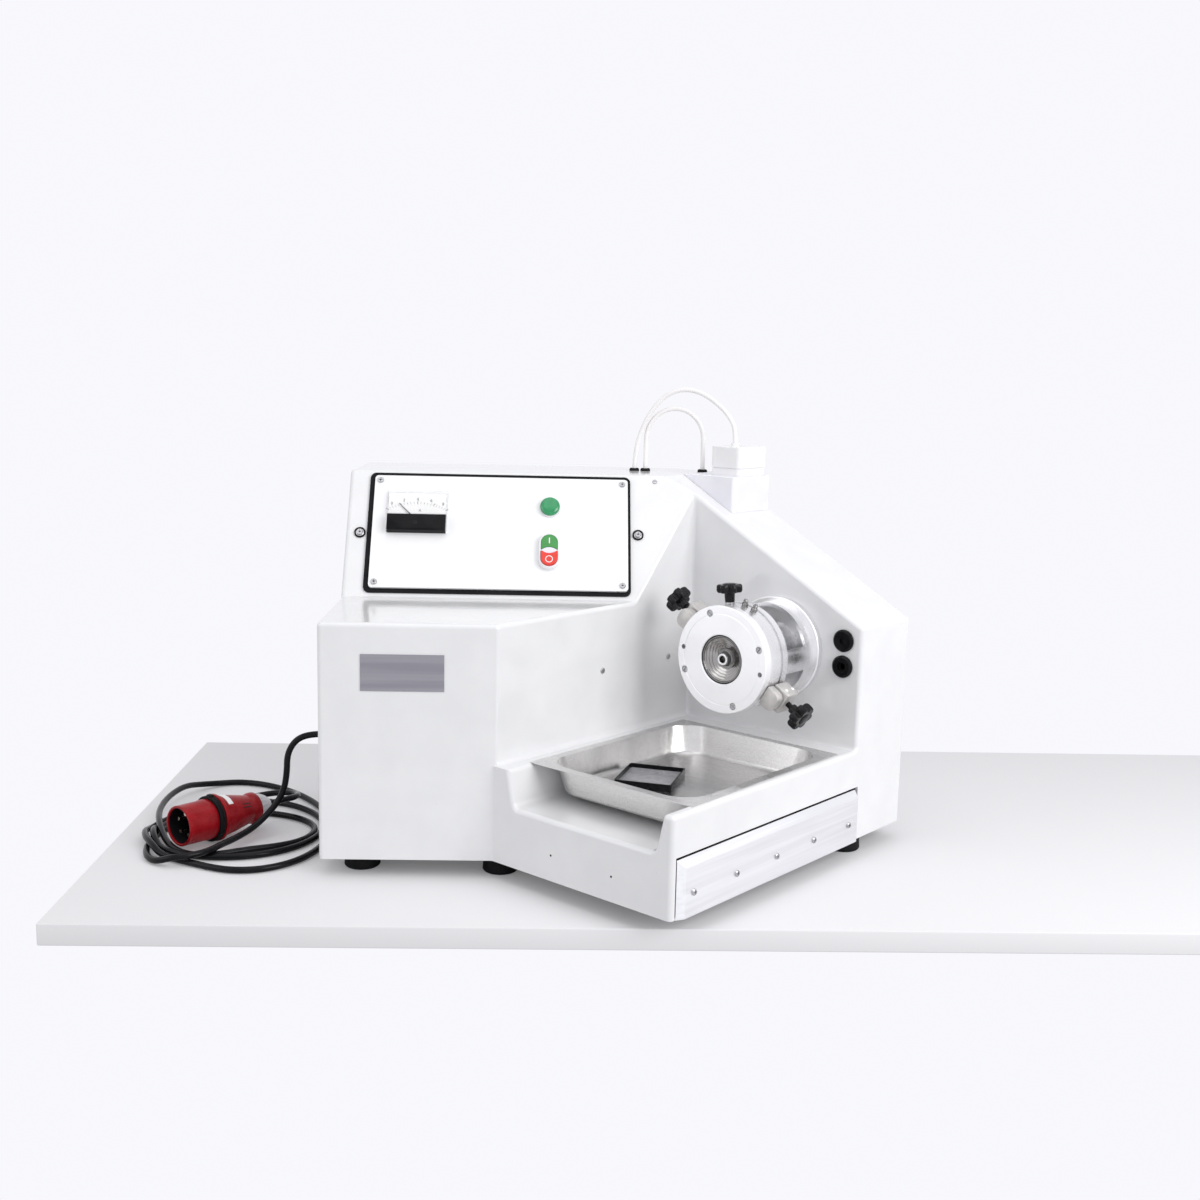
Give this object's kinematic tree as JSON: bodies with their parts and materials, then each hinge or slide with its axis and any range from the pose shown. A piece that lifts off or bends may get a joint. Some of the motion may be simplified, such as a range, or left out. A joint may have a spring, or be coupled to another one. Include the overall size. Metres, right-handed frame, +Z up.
{
  "type": "laboratory bead mill",
  "caption": "Benchtop agitator bead mill: white housing with sloping control panel, clamped grinding chamber over a drip pan, sealing liquid bottle and mains lead.",
  "frame": {"origin": "bottom centre of the machine's box, under the feet, without the mains lead", "axes": "+X along the front face to the right, +Y to the back, +Z up"},
  "size_m": [1.0832, 0.6822, 0.638],
  "materials": {
    "hood": "glossy white glass-fibre moulding",
    "base_frame": "satin",
    "feet": "matte",
    "side_cover": "brushed",
    "housing_screws": "bright",
    "panel_gasket": "satin",
    "panel_plate": "glossy",
    "panel_screws": "bright",
    "side_fasteners": "satin",
    "meter_case": "satin",
    "meter_dial": "matte",
    "meter_window": "clear",
    "meter_needle": "black painted",
    "lamp_lens": "glossy",
    "button_bezel": "glossy",
    "button_window": "glossy",
    "start_button": "glossy",
    "stop_button": "glossy",
    "contact_blocks": "matte",
    "name_plate": "satin",
    "drive_flange": "turned",
    "lantern": "turned",
    "seal_housing": "turned",
    "shaft_seal": "lapped",
    "grinding_cylinder": "polished",
    "front_cover": "turned",
    "cover_screws": "bright",
    "inlet_insert": "polished",
    "inlet_seal": "matte",
    "cooling_nipples": "satin",
    "filling_knob": "satin",
    "clamp_claw_upper": "cast, satin",
    "clamp_claw_lower": "cast, satin",
    "clamp_knob_upper": "satin",
    "clamp_knob_lower": "satin",
    "water_couplings": "satin",
    "bearing_housing": "machined",
    "ball_bearings": "ground",
    "agitator_shaft": "ground",
    "agitator_discs": "satin",
    "shaft_pulley": "turned",
    "motor_pulley": "turned",
    "drive_belt": "matte",
    "motor_frame": "satin",
    "rotor_shaft": "machined",
    "pan": "satin",
    "strainer": "satin",
    "tank_holder": "translucent",
    "tank_bottle": "satin",
    "bottle_cap": "satin",
    "hose_grommets": "satin",
    "hose_long": "translucent hose",
    "hose_short": "translucent hose",
    "cable_gland": "satin",
    "mains_cable": "satin",
    "cable_coil": "satin",
    "plug_body": "satin",
    "plug_ring": "satin",
    "plug_pins": "nickel plated",
    "plug_gland": "satin"
  },
  "bodies": {
    "machine": {"hood": "hood", "base_frame": "base_frame", "feet": "feet", "side_cover": "side_cover", "housing_screws": "housing_screws", "panel_gasket": "panel_gasket", "panel_plate": "panel_plate", "panel_screws": "panel_screws", "side_fasteners": "side_fasteners", "meter_case": "meter_case", "meter_dial": "meter_dial", "meter_window": "meter_window", "lamp_lens": "lamp_lens", "button_bezel": "button_bezel", "button_window": "button_window", "contact_blocks": "contact_blocks", "name_plate": "name_plate", "drive_flange": "drive_flange", "lantern": "lantern", "seal_housing": "seal_housing", "shaft_seal": "shaft_seal", "water_couplings": "water_couplings", "bearing_housing": "bearing_housing", "ball_bearings": "ball_bearings", "drive_belt": "drive_belt", "motor_frame": "motor_frame", "tank_holder": "tank_holder", "tank_bottle": "tank_bottle", "bottle_cap": "bottle_cap", "hose_grommets": "hose_grommets", "hose_long": "hose_long", "hose_short": "hose_short", "cable_gland": "cable_gland", "mains_cable": "mains_cable", "cable_coil": "cable_coil", "plug_body": "plug_body", "plug_ring": "plug_ring", "plug_pins": "plug_pins", "plug_gland": "plug_gland"},
    "motor_rotor": {"rotor_shaft": "rotor_shaft", "motor_pulley": "motor_pulley"},
    "agitator": {"agitator_shaft": "agitator_shaft", "agitator_discs": "agitator_discs", "shaft_pulley": "shaft_pulley"},
    "start_button": {"start_button": "start_button"},
    "stop_button": {"stop_button": "stop_button"},
    "meter_pointer": {"meter_needle": "meter_needle"},
    "chamber": {"grinding_cylinder": "grinding_cylinder", "front_cover": "front_cover", "cover_screws": "cover_screws", "inlet_insert": "inlet_insert", "inlet_seal": "inlet_seal", "cooling_nipples": "cooling_nipples"},
    "filling_plug": {"filling_knob": "filling_knob"},
    "upper_claw": {"clamp_claw_upper": "clamp_claw_upper"},
    "upper_clamp_screw": {"clamp_knob_upper": "clamp_knob_upper"},
    "lower_claw": {"clamp_claw_lower": "clamp_claw_lower"},
    "lower_clamp_screw": {"clamp_knob_lower": "clamp_knob_lower"},
    "drip_pan": {"pan": "pan"},
    "strainer_tray": {"strainer": "strainer"}
  },
  "joints": [
    {"name": "motor_spin", "type": "hinge", "parent": "machine", "child": "motor_rotor", "pos_m": [0.03285, 0.21794, 0.12], "axis": [-0.682, -0.7314, 0], "continuous": true},
    {"name": "agitator_spin", "type": "hinge", "parent": "machine", "child": "agitator", "pos_m": [0.21752, 0.04574, 0.2794], "axis": [-0.682, -0.7314, 0], "continuous": true},
    {"name": "start_press", "type": "slide", "parent": "machine", "child": "start_button", "axis": [0, 0.849, -0.5284], "range_m": [0, 0.003], "stiffness_N_per_m": 400},
    {"name": "stop_press", "type": "slide", "parent": "machine", "child": "stop_button", "axis": [0, 0.849, -0.5284], "range_m": [0, 0.003], "stiffness_N_per_m": 400},
    {"name": "pointer_swing", "type": "hinge", "parent": "machine", "child": "meter_pointer", "pos_m": [-0.30062, 0.11165, 0.44283], "axis": [0, 0.849, -0.5284], "range_deg": [0, 90], "stiffness_Nm_per_rad": 0.0002},
    {"name": "chamber_slide", "type": "slide", "parent": "machine", "child": "chamber", "axis": [-0.682, -0.7314, 0], "range_m": [0, 0.1]},
    {"name": "filling_plug_turn", "type": "hinge", "parent": "chamber", "child": "filling_plug", "pos_m": [0.13645, -0.0318, 0.35262], "axis": [-0.0637, 0.0594, 0.9962], "range_deg": [0, 900]},
    {"name": "upper_claw_lift", "type": "slide", "parent": "machine", "child": "upper_claw", "axis": [-0.6202, 0.5784, 0.5299], "range_m": [0, 0.014]},
    {"name": "upper_screw_turn", "type": "hinge", "parent": "upper_claw", "child": "upper_clamp_screw", "pos_m": [0.08894, 0.03096, 0.33186], "axis": [-0.6202, 0.5784, 0.5299], "range_deg": [0, 900]},
    {"name": "lower_claw_lift", "type": "slide", "parent": "machine", "child": "lower_claw", "axis": [0.6202, -0.5784, -0.5299], "range_m": [0, 0.014]},
    {"name": "lower_screw_turn", "type": "hinge", "parent": "lower_claw", "child": "lower_clamp_screw", "pos_m": [0.21174, -0.08356, 0.22694], "axis": [0.6202, -0.5784, -0.5299], "range_deg": [0, 900]},
    {"name": "pan_draw", "type": "slide", "parent": "machine", "child": "drip_pan", "axis": [-0.682, -0.7314, 0], "range_m": [0, 0.25]},
    {"name": "strainer_lift", "type": "slide", "parent": "drip_pan", "child": "strainer_tray", "axis": [0, 0, 1], "range_m": [0, 0.04]}
  ],
  "couplings": [
    {"joint": "agitator_spin", "follows": "motor_spin", "ratio": 1.2989}
  ]
}
